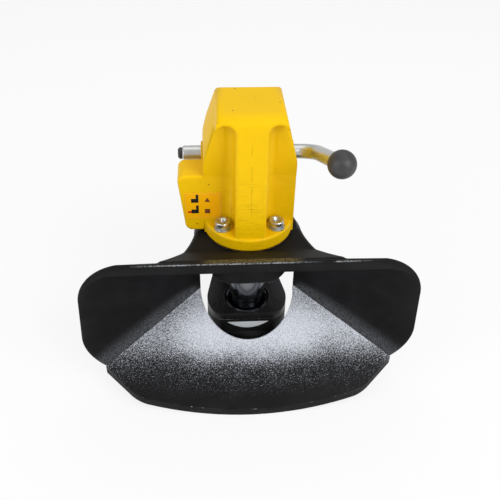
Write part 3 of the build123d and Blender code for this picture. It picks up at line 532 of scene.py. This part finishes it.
@dataclass(frozen=True)
class FunnelCasting(BlackCasting):
    """Black funnel: painted sheen on the apron, painted highlight streaks above its creases, rusty
    lip and bright chips.
    """

    # Painted sheen: a pale bluish colour that stands for the lamps' reflection on the apron, also
    # used for the highlight streaks above the creases.
    sheen_colour: Colour = (0.86, 0.90, 0.99)
    rust: Colour = (0.17, 0.135, 0.05)
    mouth_reach: float = 88.0 * MM
    mouth_lean: float = math.radians(3.5)
    mark_grain: float = 2.1 * MM
    apron_height: float = -11.0 * MM
    apron_fall: float = 0.663
    apron_above: Span = (2.2 * MM, 1.0 * MM)
    apron_below: Span = (-5.0 * MM, -3.0 * MM)
    apron_back: Span = (0.0, -2.0 * MM)
    sheen_drift: float = 14.0 * MM
    sheen_drift_size: float = 38.0 * MM
    near_span: Span = (-98.0 * MM, -50.0 * MM)
    near_share: float = 0.72
    far_span: Span = (-134.0 * MM, -70.0 * MM)
    wing_reach: Span = (45.0 * MM, 120.0 * MM)
    upper_span: Span = (-50.0 * MM, -15.0 * MM)
    sheen_grain: float = 1.3 * MM
    sheen_contrast: float = 2.4
    sheen_span: Span = (-0.38, 0.5)
    sheen_start: Span = (0.0, 0.1)
    fine_grain: float = 1.0 * MM
    fine_span: Span = (0.34, 0.62)
    streak_fade: Span = (22.0 * MM, 4.0 * MM)
    streak_foot: Span = (1.5 * MM, 3.0 * MM)
    streak_back: Span = (-2.0 * MM, -8.0 * MM)
    streak_top: Span = (0.0, -12.0 * MM)
    streak_break: Span = (0.4, 0.6)
    streak_tone: float = 0.08
    lip_height: float = 90.0 * MM
    lip_fade: float = 3.0 * MM
    rust_width: Span = (62.0 * MM, 43.4 * MM)
    rust_back: Span = (-13.0 * MM, -9.0 * MM)
    rust_front: Span = (-0.5 * MM, -3.0 * MM)
    rust_break: Span = (0.36, 0.6)
    line_width: Span = (150.0 * MM, 90.0 * MM)
    line_front: Span = (-4.0 * MM, -3.0 * MM)
    line_steep: Span = (0.35, 0.55)
    line_level: Span = (0.95, 0.8)
    line_patch: float = 30.0 * MM
    line_patch_span: Span = (0.36, 0.5)
    line_break: Span = (0.4, 0.55)
    chip_reach: float = 2.4 * MM
    chip_above: Span = (4.0 * MM, 1.0 * MM)
    chip_front: Span = (-100.0 * MM, -112.0 * MM)
    chip_patch: float = 14.0 * MM
    chip_patch_span: Span = (0.56, 0.62)
    chip_break: Span = (0.5, 0.62)

    def above_apron(self, paint: Shader) -> Value:
        """Height of a point over the plane of the apron."""
        return paint.axis(Axis.Z) - self.apron_height - paint.axis(Axis.Y) * self.apron_fall

    def strength(self, paint: Shader) -> Value:
        """Strength of the painted sheen on the apron: most by the throat, less out on its wings.

        Args:
            paint: The material being built.

        Returns:
            The rubbing, 0 to 1.
        """
        x, y = paint.axis(Axis.X), paint.axis(Axis.Y)
        drifted = y + (paint.noise(self.sheen_drift_size, 3.0) - 0.5) * self.sheen_drift
        near, far = drifted.rise(*self.near_span), drifted.rise(*self.far_span)
        left, right = x.rise(*(-reach for reach in self.wing_reach)), x.rise(*self.wing_reach)
        # The painted sheen is weaker out on the left wing than on the right.
        sides = 1.0 - 0.5 * left - 0.3 * right
        upper = 1.0 - 0.35 * y.rise(*self.upper_span)
        return (self.near_share * near + (1.0 - self.near_share) * far) * sides * upper

    def painted_sheen(self, paint: Shader) -> Value:
        """Painted sheen: pale grain on the apron, whole by the throat and thinning out to nothing
        at its lip.

        Args:
            paint: The material being built.

        Returns:
            Mask of the grain.
        """
        above, y = self.above_apron(paint), paint.axis(Axis.Y)
        apron = above.rise(*self.apron_above) * above.rise(*self.apron_below)
        strength = self.strength(paint)
        speck = (paint.noise(self.sheen_grain, 2.0, rough=0.75) - 0.5) * self.sheen_contrast + 0.5
        fine = paint.noise(self.fine_grain, 2.0, rough=0.8).rise(*self.fine_span) * 0.45 + 0.5
        grains = (strength * 1.2 - 0.08 - speck).rise(*self.sheen_span)
        return apron * y.rise(*self.apron_back) * grains * strength.rise(*self.sheen_start) * fine

    def streak(self, paint: Shader, speck: Value) -> Value:
        """Painted highlight: soft light streak on the wing just above each crease.

        Args:
            paint: The material being built.
            speck: Noise that breaks the marks up.

        Returns:
            Mask of the streaks.
        """
        y, z = paint.axis(Axis.Y), paint.axis(Axis.Z)
        above = self.above_apron(paint)
        band = above.rise(*self.streak_fade) * above.rise(*self.streak_foot)
        ends = y.rise(*self.streak_back) * z.rise(*self.streak_top)
        return band * ends * (0.3 + 0.7 * speck.rise(*self.streak_break))

    def lip(self, paint: Shader, speck: Value) -> tuple[Value, Value]:
        """Rust strip behind the top edge of the lip, and the bright line rubbed on it.

        Args:
            paint: The material being built.
            speck: Noise that breaks the marks up.

        Returns:
            The masks of the rust and of the line.
        """
        x, y, z = (paint.axis(which) for which in Axis)
        lean = z * math.sin(self.mouth_lean)
        front = (y + self.mouth_reach) * -math.cos(self.mouth_lean) - lean
        top = z.rise(self.lip_height, self.lip_height + self.lip_fade)
        middle = abs(x).rise(*self.rust_width)
        strip = front.rise(*self.rust_back) * front.rise(*self.rust_front) * top * middle
        normal = paint.node("ShaderNodeNewGeometry", output="Normal")
        upward = paint.node("ShaderNodeSeparateXYZ", inputs={0: normal}, output="Z")
        rounded = upward.rise(*self.line_steep) * upward.rise(*self.line_level)
        reach = abs(x).rise(*self.line_width) * front.rise(*self.line_front) * top
        patches = paint.noise(self.line_patch, 3.0).rise(*self.line_patch_span)
        rust = strip * speck.rise(*self.rust_break)
        return rust, rounded * patches * reach * speck.rise(*self.line_break)

    def chips(self, paint: Shader, speck: Value) -> Value:
        """Bright chips along the edge of the apron's foot.

        Args:
            paint: The material being built.
            speck: Noise that breaks the marks up.

        Returns:
            Mask of the chips.
        """
        y = paint.axis(Axis.Y)
        foot = self.above_apron(paint).rise(*self.chip_above) * y.rise(*self.chip_front)
        patches = paint.noise(self.chip_patch, 3.0).rise(*self.chip_patch_span)
        return paint.edges(self.chip_reach) * foot * patches * speck.rise(*self.chip_break)

    def extra(
        self, paint: Shader, grain: Value, colour: Value, shine: Value
    ) -> tuple[Value, Value]:
        """Paint the sheen on the apron and the highlight streaks above the creases, and rust and
        chip the lip.

        Args:
            paint: The material being built.
            grain: Fine noise of the casting; not used here.
            colour: Colour so far.
            shine: Bare metal so far, 0 to 1.

        Returns:
            The colour with the marks in it, and a quarter of the bare metal.
        """
        speck = paint.noise(self.mark_grain, 3.0, rough=0.8)
        # Painted sheen on the apron, mixed in the sheen colour.
        colour = paint.mix(self.painted_sheen(paint), colour, self.sheen_colour)
        # Painted highlight streaks above the creases, in the sheen colour.
        colour = paint.mix(self.streak(paint, speck) * self.streak_tone, colour, self.sheen_colour)
        rust, line = self.lip(paint, speck)
        colour = paint.mix(rust * 0.85, colour, self.rust)
        bright = (line * 0.4 + self.chips(paint, speck)).least(1.0)
        return paint.mix(bright, colour, self.bare), shine * 0.25


@dataclass(frozen=True)
class Steel:
    """Bare or plated steel with fine scratches and faint stains."""

    name: str
    colour: Colour
    stain: Colour
    roughness: float = 0.3
    staining: float = 0.5
    cloud: float = 9.0 * MM
    cloud_span: Span = (0.42, 0.72)
    spot: float = 2.2 * MM
    spot_span: Span = (0.35, 0.65)
    scratch: float = 0.9 * MM
    depth: float = 0.03 * MM
    rounding: float = 0.5 * MM

    def make(self) -> bpy.types.Material:
        """Build the metal.

        Returns:
            The finish.
        """
        metal = Shader(self.name)
        cloud = metal.noise(self.cloud, 4.0).rise(*self.cloud_span)
        spots = metal.noise(self.spot, 3.0, rough=0.7).rise(*self.spot_span)
        fine = metal.noise(self.scratch, 3.0)
        stain = (cloud * spots * self.staining).least(1.0)
        metal.set(Base_Color=metal.mix(stain, self.colour, self.stain))
        metal.set(Metallic=1.0 - 0.35 * stain)
        metal.set(Roughness=self.roughness + 0.12 * fine + 0.2 * stain)
        metal.relief(fine, self.depth, self.rounding)
        return metal.material


@dataclass(frozen=True)
class Moulding:
    """Moulded plastic or rubber with a fine satin grain."""

    name: str
    colour: Colour
    roughness: float = 0.4
    dust: float = 0.15
    cloud: float = 11.0 * MM
    cloud_span: Span = (0.4, 0.75)
    grain: float = 0.8 * MM
    depth: float = 0.03 * MM
    rounding: float = 0.4 * MM

    def make(self) -> bpy.types.Material:
        """Build the plastic.

        Returns:
            The finish.
        """
        skin = Shader(self.name)
        dust = skin.noise(self.cloud, 3.0).rise(*self.cloud_span) * self.dust
        grain = skin.noise(self.grain, 3.0)
        pale = tuple(0.6 * part + 0.12 for part in self.colour)
        skin.set(Base_Color=skin.mix(dust, self.colour, pale))
        skin.set(Roughness=self.roughness + 0.15 * grain)
        skin.relief(grain, self.depth, self.rounding)
        return skin.material


@dataclass(frozen=True)
class Ink:
    """Flat print on the label film, faintly faded."""

    name: str
    colour: Colour
    faded: Colour
    cloud: float = 8.0 * MM
    cloud_span: Span = (0.4, 0.75)
    grain: float = 1.5 * MM

    def make(self) -> bpy.types.Material:
        """Build the print.

        Returns:
            The finish.
        """
        film = Shader(self.name)
        fading = film.noise(self.cloud, 3.0).rise(*self.cloud_span) * 0.5
        film.set(Base_Color=film.mix(fading, self.colour, self.faded))
        film.set(Roughness=0.3 + 0.12 * film.noise(self.grain, 2.0))
        film.set(Specular_IOR_Level=0.15, Coat_Weight=0.04, Coat_Roughness=0.2)
        return film.material


def dress(piece: bpy.types.Object, material: bpy.types.Material) -> None:
    """Give a piece one material on all its faces.

    Args:
        piece: Mesh object.
        material: Finish it takes.
    """
    piece.data.materials.clear()
    piece.data.materials.append(material)


def finished(
    name: str, mesh: bmesh.types.BMesh, material: bpy.types.Material
) -> bpy.types.Object:
    """Turn a bmesh into a piece with smooth faces and sharp edges.

    Args:
        name: Name of the piece.
        mesh: Shape, freed here.
        material: Finish it takes.

    Returns:
        The new object at the origin.
    """
    data = bpy.data.meshes.new(name)
    mesh.to_mesh(data)
    mesh.free()
    piece = bpy.data.objects.new(name, data)
    bpy.context.scene.collection.objects.link(piece)
    data.shade_smooth()
    data.set_sharp_from_angle(angle=math.radians(SHARP_ANGLE))
    weighted = piece.modifiers.new("flat_faces", "WEIGHTED_NORMAL")
    weighted.keep_sharp = True
    dress(piece, material)
    return piece


def merged(frame: dict[str, Any], node: str) -> bmesh.types.BMesh:
    """Copy a node's mesh and join its loose triangles.

    Args:
        node: Node whose shape is copied.

    Returns:
        The copy, to be freed by the caller.
    """
    mesh = bmesh.new()
    mesh.from_mesh(frame["nodes"][node].data)
    bmesh.ops.remove_doubles(mesh, verts=mesh.verts, dist=MERGE_REACH)
    return mesh


def stand_in(
    node: str, body: Body, mesh: bmesh.types.BMesh, material: bpy.types.Material
) -> bpy.types.Object:
    """Stand a smoothly shaded skin in for a node of the frame.

    Args:
        node: Node that the skin hides.
        body: Body it moves with.
        mesh: Shape of the skin, freed here.
        material: Finish it takes.

    Returns:
        The piece that stands for the node.
    """
    piece = finished(node + "_skin", mesh, material)
    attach(piece, body.value)
    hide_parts(node)
    return piece


def plate(
    mesh: bmesh.types.BMesh, centre: Vector, size: tuple[float, float], thick: float
) -> None:
    """Add an upright flat bar that faces the mouth.

    Args:
        mesh: Mesh to add to.
        centre: Middle of its back face.
        size: Width and height.
        thick: How far it stands forward.
    """
    made = bmesh.ops.create_cube(mesh, size=1.0)
    scaled = Matrix.Diagonal((size[0], thick, size[1], 1.0))
    place = Matrix.Translation(centre - Vector((0, thick / 2, 0)))
    bmesh.ops.transform(mesh, matrix=place @ scaled, verts=made["verts"])


def triangle(mesh: bmesh.types.BMesh, centre: Vector, radius: float, thick: float) -> None:
    """Add an upright triangular plate that faces the mouth.

    Args:
        mesh: Mesh to add to.
        centre: Middle of its back face.
        radius: Distance of its corners from the middle.
        thick: How far it stands forward.
    """
    made = bmesh.ops.create_cone(
        mesh, cap_ends=True, segments=3, radius1=radius, radius2=radius, depth=thick
    )
    turned = Matrix.Rotation(math.radians(90), 4, "X")
    place = Matrix.Translation(centre - Vector((0, thick / 2, 0)))
    bmesh.ops.transform(mesh, matrix=place @ turned, verts=made["verts"])


class Row(Enum):
    """Rows of the instruction label: pin locked above, pin lifted below."""

    LOCKED = 1
    LIFTED = -1


@dataclass
class Label:
    """Printed instruction label on the front of the indicator box."""

    frame: dict[str, Any]
    film: float = 0.12 * MM
    crossing_film: float = 0.108 * MM
    margin: float = 0.9 * MM
    border: float = 0.5 * MM
    row_offset: float = 7.6 * MM
    block: tuple[float, float] = (8.6 * MM, 5.4 * MM)
    block_shift: float = -9.4 * MM
    lever: tuple[float, float] = (3.0 * MM, 6.2 * MM)
    lever_overlap: float = 0.4 * MM
    pin: tuple[float, float] = (4.2 * MM, 2.6 * MM)
    pin_lift: float = -0.8 * MM
    sign_shift: float = 5.2 * MM
    triangle_radius: float = 3.9 * MM
    square_side: float = 6.24 * MM

    def __post_init__(self) -> None:
        """Take the label's place from the frame."""
        low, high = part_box("instruction_label")
        self.centre = Vector(((low.x + high.x) / 2, low.y, (low.z + high.z) / 2))
        self.width, self.height = high.x - low.x, high.z - low.z

    def row_centre(self, row: Row, shift: float = 0.0, lift: float = 0.0) -> Vector:
        """Point on a row, to the right of its middle and above it."""
        return self.centre + Vector((shift, 0, row.value * self.row_offset + lift))

    def build_border(self, ink: bpy.types.Material) -> bpy.types.Object:
        """Thin light line round the label.

        Args:
            ink: Finish of the print.

        Returns:
            The printed piece.
        """
        mesh = bmesh.new()
        half_width, half_height = self.width / 2 - self.margin, self.height / 2 - self.margin
        upright = (self.border, 2 * half_height)
        level = (2 * half_width + self.border, self.border)
        for side in (-1, 1):
            middle = self.centre + Vector((side * half_width, 0, 0))
            plate(mesh, middle, upright, self.film)
            middle = self.centre + Vector((0, 0, side * half_height))
            plate(mesh, middle, level, self.crossing_film)
        return finished("label_border_print", mesh, ink)

    def build_symbols(self, ink: bpy.types.Material) -> bpy.types.Object:
        """Black block with its raised lever in each row.

        Args:
            ink: Finish of the print.

        Returns:
            The printed piece.
        """
        mesh = bmesh.new()
        right = self.block_shift + (self.block[0] - self.lever[0]) / 2
        lift = (self.block[1] + self.lever[1]) / 2 - self.lever_overlap
        for row in Row:
            plate(mesh, self.row_centre(row, self.block_shift), self.block, self.film)
            plate(mesh, self.row_centre(row, right, lift), self.lever, self.crossing_film)
        return finished("label_symbol_print", mesh, ink)

    def build_signs(self, ink: bpy.types.Material) -> bpy.types.Object:
        """Plain triangle for the upper row and plain square for the lower one.

        Args:
            ink: Finish of the print.

        Returns:
            The printed piece.
        """
        mesh = bmesh.new()
        upper, lower = (self.row_centre(row, self.sign_shift) for row in Row)
        triangle(mesh, upper, self.triangle_radius, self.film)
        plate(mesh, lower, (self.square_side, self.square_side), self.film)
        return finished("label_sign_print", mesh, ink)

    def build_pin(self, ink: bpy.types.Material) -> bpy.types.Object:
        """Red pin that stands out to the left of the lower block.

        Args:
            ink: Finish of the print.

        Returns:
            The printed piece.
        """
        mesh = bmesh.new()
        left = self.block_shift - (self.block[0] + self.pin[0]) / 2
        plate(mesh, self.row_centre(Row.LIFTED, left, self.pin_lift), self.pin, self.film)
        return finished("label_pin_print", mesh, ink)

    def build(self) -> list[bpy.types.Object]:
        """Dress the film and add the print.

        Returns:
            The printed pieces.
        """
        film = Ink("label_film", (0.92, 0.45, 0.001), (0.86, 0.42, 0.004)).make()
        dress(self.frame["nodes"]["instruction_label"], film)
        black = Ink("label_black", (0.012, 0.012, 0.012), (0.05, 0.045, 0.035)).make()
        pale = Ink("label_pale", (0.8, 0.5, 0.06), (0.7, 0.42, 0.05)).make()
        red = Ink("label_red", (0.55, 0.015, 0.01), (0.45, 0.04, 0.02)).make()
        brown = Ink("label_brown", (0.16, 0.05, 0.02), (0.2, 0.08, 0.02)).make()
        pieces = [
            self.build_border(pale),
            self.build_symbols(black),
            self.build_signs(brown),
            self.build_pin(red),
        ]
        for piece in pieces:
            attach(piece, Body.HEAD.value)
        return pieces


@dataclass
class Skins:
    """Merged, smoothly shaded stand-ins for the nodes of one body, each with its finish."""

    frame: dict[str, Any]
    body: Body
    finishes: dict[str, bpy.types.Material]

    def build(self) -> list[bpy.types.Object]:
        """Make one skin for each node.

        Returns:
            The skins.
        """
        return [
            stand_in(node, self.body, merged(self.frame, node), material)
            for node, material in self.finishes.items()
        ]


@dataclass
class HousingSkin:
    """Stand-in for the housing: its indicator box reaches to the foot and its top is rounded.

    Side is the root of the box on the housing's side, edge lies just inside its outer face, and
    box_foot holds the heights between which its slanted end lies. Points within a reach of a
    plane count as lying on it. The two angles are radians.
    """

    frame: dict[str, Any]
    material: bpy.types.Material
    side: float = -54.2 * MM
    edge: float = -60.0 * MM
    box_foot: tuple[float, float] = (105.5 * MM, 119.0 * MM)
    drop: float = 14.0 * MM
    slant: float = 1.6 * MM
    reach: float = 0.01 * MM
    cut_reach: float = 0.001 * MM
    top: float = 258.0 * MM
    top_round: float = 8.0 * MM
    top_reach: float = 0.1 * MM
    flat_angle: float = math.radians(0.2)
    rim_angle: float = 0.5

    def lower_foot(self, mesh: bmesh.types.BMesh) -> None:
        """Score the housing along the box's root and pull the box's slanted end down.

        Args:
            mesh: Mesh of the housing.
        """
        bmesh.ops.bisect_plane(
            mesh,
            geom=mesh.verts[:] + mesh.edges[:] + mesh.faces[:],
            plane_co=(self.side, 0, 0),
            plane_no=(1, 0, 0),
            dist=self.cut_reach,
        )
        low, high = self.box_foot
        outer = [vert for vert in mesh.verts if vert.co.x < self.side + self.reach]
        for vert in outer:
            if low < vert.co.z < high:
                vert.co.z -= self.drop
                vert.co.x += self.slant if vert.co.x < self.edge else 0.0

    def is_rim(self, line: bmesh.types.BMEdge) -> bool:
        """Tell whether an edge lies in the rim of the top face."""
        lowest = min(vert.co.z for vert in line.verts)
        return lowest > self.top - self.top_reach and line.calc_face_angle(0.0) > self.rim_angle

    def round_top(self, mesh: bmesh.types.BMesh) -> None:
        """Round the rim of the top face as the casting's is.

        Args:
            mesh: Mesh of the housing.
        """
        bmesh.ops.dissolve_limit(
            mesh, angle_limit=self.flat_angle, verts=mesh.verts, edges=mesh.edges
        )
        rim = [line for line in mesh.edges if self.is_rim(line)]
        bmesh.ops.bevel(
            mesh,
            geom=rim,
            offset=self.top_round,
            segments=5,
            profile=0.5,
            affect="EDGES",
            material=-1,
            clamp_overlap=False,
        )
        log.info("%d edges of the top rounded", len(rim))

    def build(self) -> bpy.types.Object:
        """Lower the end of the box, round the top and make the skin.

        Returns:
            The piece that stands for the housing.
        """
        mesh = merged(self.frame, "mechanism_housing")
        self.lower_foot(mesh)
        self.round_top(mesh)
        return stand_in("mechanism_housing", Body.HEAD, mesh, self.material)


@dataclass(frozen=True)
class Lamp:
    """Soft square lamp that points at a target."""

    name: str
    place: Vector
    target: Vector
    size: float
    power: float

    def hang(self) -> None:
        """Add the lamp to the scene."""
        data = bpy.data.lights.new(self.name, "AREA")
        data.shape, data.size, data.energy = "SQUARE", self.size, self.power
        lamp = bpy.data.objects.new(self.name, data)
        bpy.context.scene.collection.objects.link(lamp)
        lamp.location = self.place
        lamp.rotation_euler = (self.target - self.place).to_track_quat("-Z", "Y").to_euler()


@dataclass(frozen=True)
class Studio:
    """Pale floor, soft lamps and the camera at the photograph's angle.

    The angles are degrees, and the focal length and the shift are pixels of the photograph.
    """

    camera_place: tuple[float, float, float] = (-0.0454, -0.6478, 0.5785)
    pitch: float = 50.75
    heading: float = -4.52
    roll: float = 1.44
    focal_pixels: float = 656.6
    image_pixels: float = 500.0
    sensor: float = 36.0
    shift_pixels: float = -2.0
    floor_half: float = 6.0
    floor_drop: float = 0.5 * MM
    floor_colour: Colour = (0.86, 0.86, 0.86)
    floor_glow: float = 0.8
    sky_level: float = 0.6
    white: Colour = (1.0, 1.0, 1.0)
    lamps: tuple[Lamp, ...] = (
        Lamp("key", Vector((1.3, -1.5, 1.5)), Vector((0, 0, 0.05)), 1.3, 31.0),
        Lamp("top", Vector((0.1, 0.45, 1.9)), Vector((0, 0, 0.1)), 1.5, 6.0),
        Lamp("left", Vector((-1.6, -0.9, 0.9)), Vector((0, 0, 0.05)), 1.2, 11.0),
    )

    def add_camera(self) -> None:
        """Stand the camera where the photograph was taken."""
        data = bpy.data.cameras.new("camera")
        camera = bpy.data.objects.new("camera", data)
        bpy.context.scene.collection.objects.link(camera)
        camera.location = self.camera_place
        turned = Matrix.Rotation(math.radians(self.heading), 3, "Z")
        tipped = Matrix.Rotation(math.radians(self.pitch), 3, "X")
        rolled = Matrix.Rotation(math.radians(self.roll), 3, "Z")
        camera.rotation_euler = (turned @ tipped @ rolled).to_euler()
        data.sensor_width = self.sensor
        data.lens = self.sensor * self.focal_pixels / self.image_pixels
        data.shift_x = self.shift_pixels / self.image_pixels
        bpy.context.scene.camera = camera

    def floor_look(self) -> bpy.types.Material:
        """Matt floor that glows to the camera and in reflections, and keeps its shadows.

        Returns:
            The finish.
        """
        look = Shader("floor")
        rays = ("Is Camera Ray", "Is Glossy Ray", "Is Transmission Ray")
        direct, glossy, through = (look.node("ShaderNodeLightPath", output=ray) for ray in rays)
        seen = (direct + glossy + through).least(1.0)
        look.set(Base_Color=self.floor_colour, Roughness=0.9, Specular_IOR_Level=0.1)
        glow = look.node("ShaderNodeEmission", inputs={"Color": self.white, "Strength": 1.0})
        lit = Value(look, look.surface.outputs[0])
        inputs = {0: seen * self.floor_glow, 1: lit, 2: glow}
        blend = look.node("ShaderNodeMixShader", inputs=inputs)
        look.links.new(blend.socket, look.output.inputs[0])
        return look.material

    def add_floor(self) -> None:
        """Lay the floor just under the lowest point."""
        mesh = bmesh.new()
        bmesh.ops.create_grid(mesh, x_segments=1, y_segments=1, size=self.floor_half)
        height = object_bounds()[0][2] - self.floor_drop
        bmesh.ops.translate(mesh, verts=mesh.verts, vec=(0, 0, height))
        finished("floor", mesh, self.floor_look())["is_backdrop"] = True

    def add_sky(self) -> None:
        """Soft world light that the camera sees as white."""
        world = bpy.data.worlds.new("sky")
        world.use_nodes = True
        bpy.context.scene.world = world
        nodes, links = world.node_tree.nodes, world.node_tree.links
        rays = nodes.new("ShaderNodeLightPath")
        level = nodes.new("ShaderNodeMapRange")
        level.inputs["To Min"].default_value = self.sky_level
        links.new(rays.outputs["Is Camera Ray"], level.inputs[0])
        back = nodes["Background"]
        back.inputs["Color"].default_value = (*self.white, 1.0)
        links.new(level.outputs[0], back.inputs["Strength"])

    def build(self) -> None:
        """Set the view and add everything that isn't the object."""
        bpy.context.scene.view_settings.view_transform = "Standard"
        self.add_camera()
        self.add_floor()
        self.add_sky()
        for lamp in self.lamps:
            lamp.hang()


class Finishes:
    """Every finish of the castings and fittings, made once and shared by the pieces."""

    def __init__(self) -> None:
        """Make the finishes."""
        self.black = BlackCasting("black_casting").make()
        self.head_black = HeadCasting("head_casting").make()
        self.funnel_black = FunnelCasting("funnel_casting").make()
        self.yellow = Enamel("yellow_enamel", (0.84, 0.51, 0.0004), (0.80, 0.49, 0.0004)).make()
        self.ground = Steel(
            "ground_steel",
            (0.17, 0.175, 0.19),
            (0.06, 0.06, 0.065),
            roughness=0.13,
            staining=0.1,
            depth=0.008 * MM,
        ).make()
        self.zinc = Steel("zinc_plate", (0.62, 0.64, 0.64), (0.34, 0.33, 0.30)).make()
        dark = Steel("dark_steel", (0.045, 0.045, 0.048), (0.02, 0.02, 0.02), roughness=0.35)
        self.dark = dark.make()
        bronze = Steel("bronze", (0.50, 0.33, 0.15), (0.2, 0.12, 0.05), roughness=0.35)
        self.bronze = bronze.make()
        self.rubber = Moulding("black_moulding", (0.03, 0.03, 0.032)).make()
        self.red = Moulding("red_paint", (0.45, 0.01, 0.008), roughness=0.3).make()

    def by_body(self) -> dict[Body, dict[str, bpy.types.Material]]:
        """Finish of every node that keeps its shape, body by body.

        Returns:
            The finishes by body and node.
        """
        return {
            Body.HEAD: {
                "coupling_head": self.head_black,
                "lower_cover": self.black,
                "wear_plate": self.dark,
                "upper_bush": self.ground,
                "lower_bush": self.ground,
                "housing_washers": self.zinc,
                "housing_bolts": self.zinc,
                "shaft_washer": self.zinc,
                "castle_nut": self.zinc,
                "split_pin": self.zinc,
                "wear_plate_screws": self.dark,
                "lower_cover_bolts": self.zinc,
                "lever_bush_left": self.yellow,
                "lever_bush_right": self.yellow,
                "indicator_sleeve": self.bronze,
                "closing_spring": self.dark,
                "housing_gasket": self.rubber,
            },
            Body.FUNNEL: {
                "funnel": self.funnel_black,
                "funnel_pivot_plate": self.black,
                "funnel_upper_liner": self.bronze,
                "funnel_lower_liner": self.bronze,
                "pivot_plate_bolts": self.zinc,
            },
            Body.LEVER: {
                "lever_bar": self.zinc,
                "ball_knob": self.rubber,
                "lever_end_plug": self.rubber,
                "lifting_arm": self.dark,
            },
            Body.PIN: {"coupling_pin": self.ground, "lifting_cross_pin": self.ground},
            Body.INDICATOR: {"indicator_pin": self.red},
        }


def main() -> None:
    """Build the looks in order and report each piece."""
    logging.basicConfig(level=logging.INFO, format="%(name)s: %(message)s")
    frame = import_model()
    finishes = Finishes()
    for body, nodes in finishes.by_body().items():
        for piece in Skins(frame, body, nodes).build():
            log.info("%s on %s", piece.name, body.value)
    housing = HousingSkin(frame, finishes.yellow).build()
    log.info("%s on %s", housing.name, Body.HEAD.value)
    for piece in Label(frame).build():
        log.info("%s on the label", piece.name)
    Studio().build()


if __name__ == "__main__":
    main()
